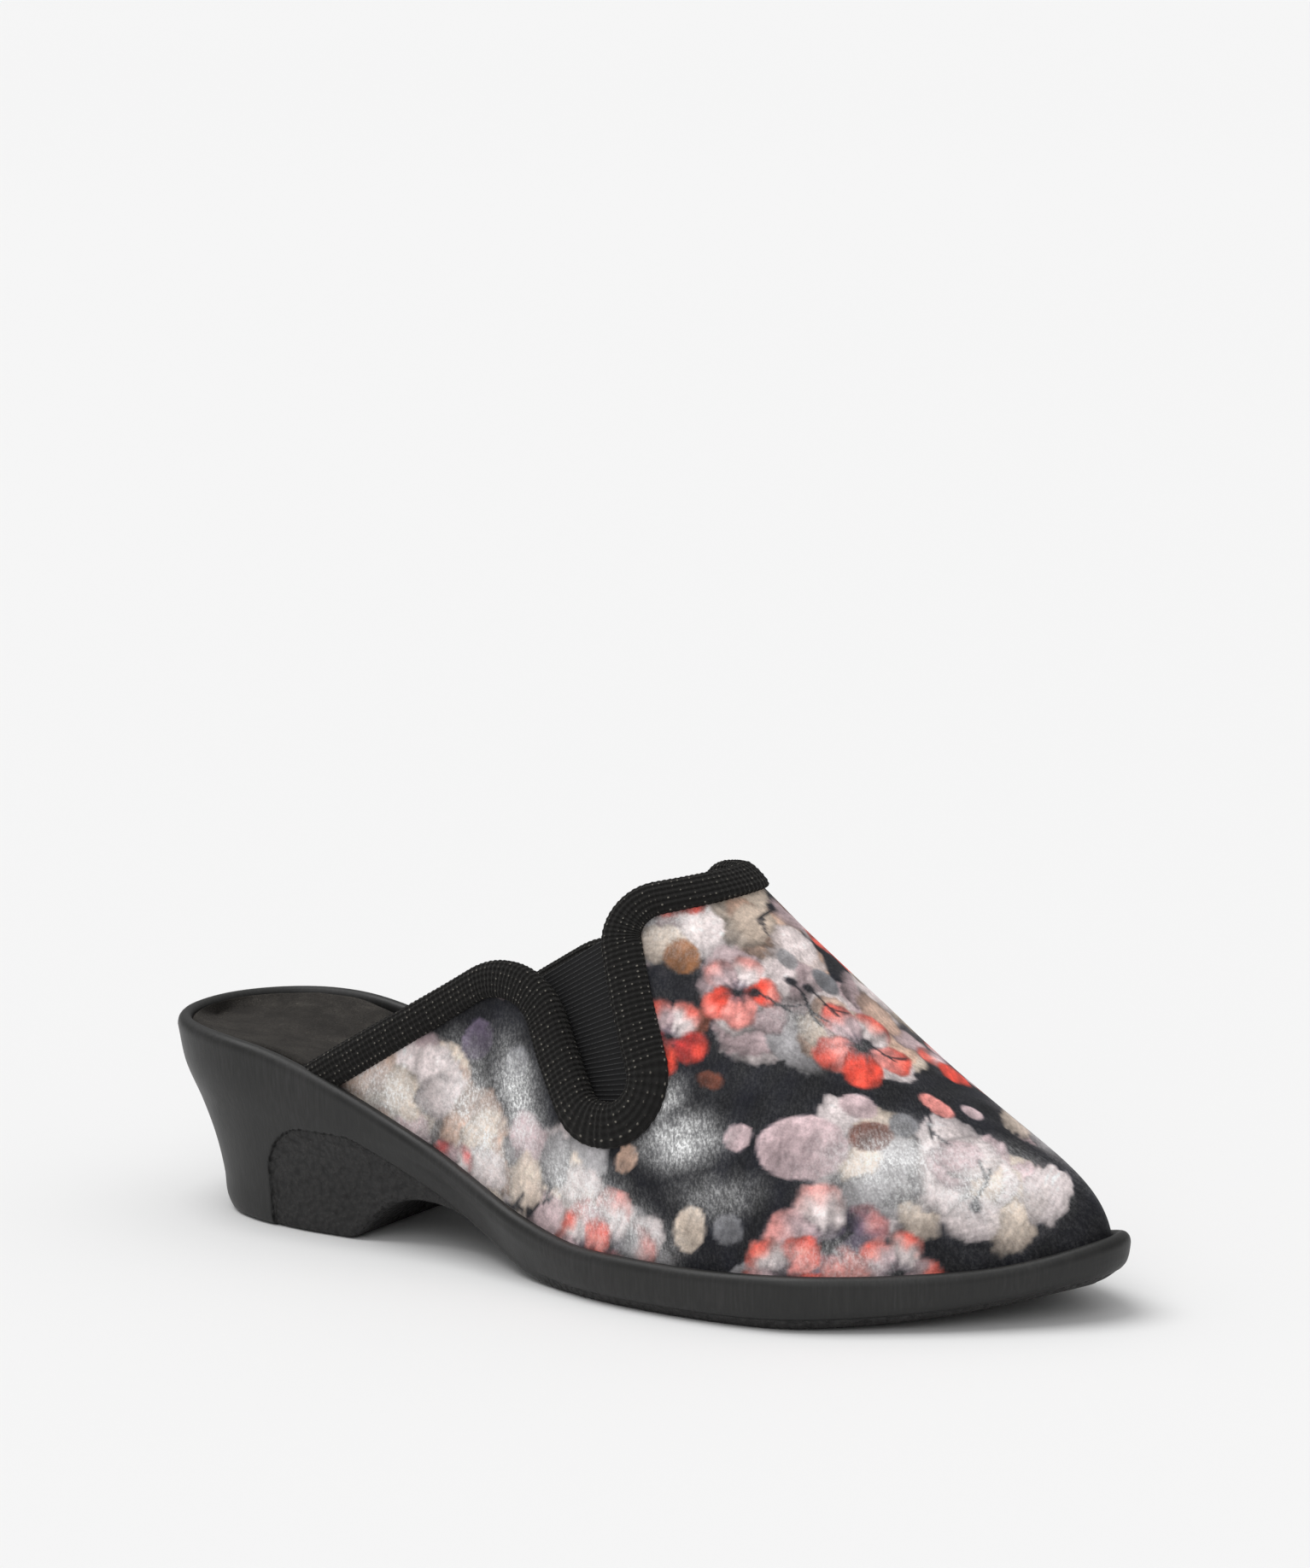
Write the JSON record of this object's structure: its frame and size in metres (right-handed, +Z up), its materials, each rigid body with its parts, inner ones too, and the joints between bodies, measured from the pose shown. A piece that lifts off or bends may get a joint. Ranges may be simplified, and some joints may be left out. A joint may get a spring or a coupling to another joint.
{
  "type": "mule slipper",
  "caption": "Backless wedge-heeled slipper: moulded sole, felt footbed and a closed-toe printed velour upper with a braid-bound collar and elastic side gores.",
  "frame": {"origin": "on the floor, under the middle of the whole shoe's box", "axes": "+X from the heel to the toe, +Y to the inner side of this right shoe, +Z up"},
  "size_m": [0.25, 0.0906, 0.0948],
  "materials": {
    "sole": "charcoal moulded sole, satin with faint streaks, fine pebble on the sunk panels",
    "felt": "charcoal needle felt, matt",
    "velour": "crushed velour with a printed floral on near-black navy, soft sheen",
    "braid": "black knitted braid, matt, with small paler flecks",
    "elastic": "black ribbed elastic, matt"
  },
  "bodies": {
    "root": {"sole": "sole", "insole": "felt", "upper": "velour", "binding": "braid", "gore_outer": "elastic", "gore_inner": "elastic"}
  },
  "joints": []
}
